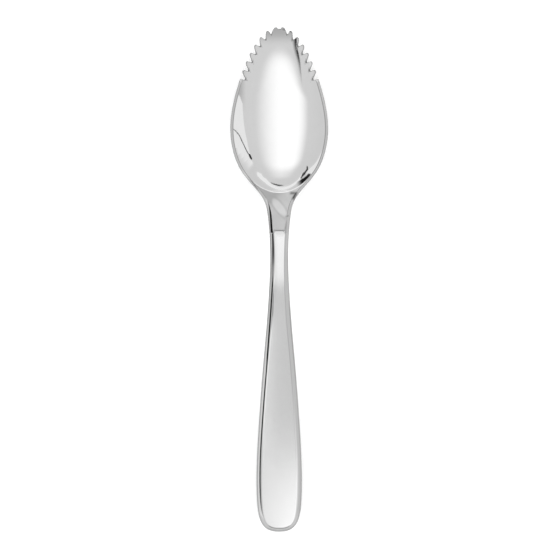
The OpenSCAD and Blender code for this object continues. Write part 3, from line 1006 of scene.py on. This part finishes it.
# How far a point lies outside the hollow, as a square; behind the heel each mm counts more
past_hollow = hollow_lead_sq + x_rows**2 - hollow_sq_at(y_rows)
past_hollow += past_heel * np.maximum(0, y_heel - y_rows)
behind_heel = ease(0, hollow_fall_sq, past_hollow)
behind_heel *= 1 - ease(y_heel + 2, y_heel + heel_sweep + 1, y_rows)
on_face = on_top * ease(0.98, 1.1, base_band) * ease(y_crease - 0.1, y_crease + 0.5, y_rows)

# A painted reflection of a swirl: its core is lighter and a ring round it darker; the neck's upper
# left corner gets more painted shade
cosine, sine = math.cos(reflected_swirl_turn), math.sin(reflected_swirl_turn)
turned = (pressed_xy - reflected_swirl_middle) @ np.array([[cosine, -sine], [sine, cosine]])
off_reflected_swirl = np.linalg.norm(turned / reflected_swirl_reach, axis=1)
neck_share = (
    neck_haze_and_shade
    - swirl_core_lightens * ease(*reflected_swirl_core, off_reflected_swirl)
    + swirl_rim_darkens * line(off_reflected_swirl - reflected_swirl_rim, reflected_swirl_rim_w)
    + corner_shade_adds * ease(*corner_y, pressed_y - corner_slant * pressed_x)
)
hazy_shaded_neck = both_sides(on_face * behind_heel) * neck_share
hazy_shaded_roots = both_sides(root_haze_and_shade * right_roots, 0 * right_roots)
keep(cut, "haze_and_shade", np.maximum.reduce([hazy_shaded_neck, heel_dark_line, hazy_shaded_roots]))
print("haze on the neck up to: %.2f" % hazy_shaded_neck.max())

# %% [markdown]
# The net closes the skin by itself, because its two sides share the points on the
# middle line. The faces are turned outwards here and shaded as one smooth
# surface. A skin without open edges has an inside, so it has a volume.

# %% Smooth the skin and check that it is closed
skin = bmesh.new()
skin.from_mesh(cut)
bmesh.ops.recalc_face_normals(skin, faces=skin.faces)
open_edges = sum(1 for e in skin.edges if len(e.link_faces) != 2)
volume = skin.calc_volume()
skin.to_mesh(cut)
skin.free()
for polygon in cut.polygons:
    polygon.use_smooth = True
print("open edges:", open_edges, "volume in mm3: %.0f" % (volume / MM**3))

# %% [markdown]
# Stainless steel is polished on cloth wheels. Close up it is a mirror with very
# fine marks that run along the handle, and with faint haze from use. The gloss is
# the metal's own and follows the four shares. The tone follows them too and is
# largely painted: a painted grey on the land and bevels, painted dark lines and
# painted shade, and painted shade with a painted reflection on the neck. Noise
# only varies them a little and lifts the marks by a hair.

# %% Tone of the steel, with painted grey and painted shade
plain_tone, painted_grey_tone = 0.82, 0.66
crease_tone, haze_shade_tone, satin_tone = 0.34, 0.42, 0.9
haze_and_shade_clouds, tone_clouds = (0.86, 1.14), (0.975, 1.015)
steel.use_nodes = True
metal = steel.node_tree
shader = metal.nodes["Principled BSDF"]
shader.inputs["Metallic"].default_value = 1


def kept_value(name):
    """A value that the skin carries at each point."""
    node = metal.nodes.new("ShaderNodeAttribute")
    node.attribute_name = name
    return node.outputs["Fac"]


def tuned(low, high, share, times=None):
    """From low to high by a share of 0 to 1, and times another value where one is given."""
    level = ramp_node(metal, share, 0, 1, low, high, smooth=False)
    return level if times is None else math_node(metal, "MULTIPLY", level, times)


def noise(stretch, scale, detail):
    """Noise on the spoon's own coordinates, stretched along x, y and z."""
    place = metal.nodes.new("ShaderNodeTexCoord")
    mapping = metal.nodes.new("ShaderNodeMapping")
    mapping.inputs["Scale"].default_value = stretch
    metal.links.new(place.outputs["Object"], mapping.inputs["Vector"])
    made = metal.nodes.new("ShaderNodeTexNoise")
    made.inputs["Scale"].default_value = scale
    made.inputs["Detail"].default_value = detail
    metal.links.new(mapping.outputs["Vector"], made.inputs["Vector"])
    return made.outputs["Fac"]


clouds = noise(stretch=(1, 1, 1), scale=330, detail=3)
ground_and_painted_grey, crease, haze_and_shade, satin = (kept_value(name) for name in ("ground_and_painted_grey", "crease", "haze_and_shade", "satin"))
haze_and_shade = tuned(*haze_and_shade_clouds, clouds, haze_and_shade)
# The tone is darkened by the painted grey, the painted dark lines and shade, the painted shade on
# the neck and the satin's own duller tone
tone = tuned(plain_tone, painted_grey_tone, ground_and_painted_grey)
for share, full_tone in ((crease, crease_tone), (haze_and_shade, haze_shade_tone), (satin, satin_tone)):
    tone = tuned(1, full_tone, share, tone)
tone = tuned(*tone_clouds, clouds, tone)
colour = metal.nodes.new("ShaderNodeCombineColor")
for socket in colour.inputs:
    if socket.enabled and socket.type == "VALUE":
        metal.links.new(tone, socket)
metal.links.new(colour.outputs["Color"], shader.inputs["Base Color"])
print("tone of the steel:", len(metal.nodes), "nodes")

# %% Gloss and polishing marks
lengthwise = noise(stretch=(1, 0.03, 1), scale=6000, detail=3)
wear = noise(stretch=(1, 0.5, 1), scale=140, detail=4)
mark_height, mirror_marks = 0.0004, 0.15
mirror_rough, ground_rough = 0.025, 0.035

# What each share adds to the roughness, at its 0 and at its 1
adds = [(haze_and_shade, 0, 0.5), (satin, 0, 0.13), (wear, 0, 0.02), (lengthwise, -0.01, 0.02)]
roughness = tuned(mirror_rough, ground_rough, ground_and_painted_grey)
for share, low, high in adds:
    roughness = math_node(metal, "ADD", roughness, tuned(low, high, share))
metal.links.new(roughness, shader.inputs["Roughness"])
marks = metal.nodes.new("ShaderNodeBump")
marks.inputs["Distance"].default_value = mark_height * MM
metal.links.new(tuned(mirror_marks, 1, satin), marks.inputs["Strength"])
metal.links.new(lengthwise, marks.inputs["Height"])
metal.links.new(marks.outputs["Normal"], shader.inputs["Normal"])
print("polished steel:", len(metal.nodes), "nodes")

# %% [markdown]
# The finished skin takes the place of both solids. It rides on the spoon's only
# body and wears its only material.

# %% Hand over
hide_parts("bowl", "handle")
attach(spoon, "root")
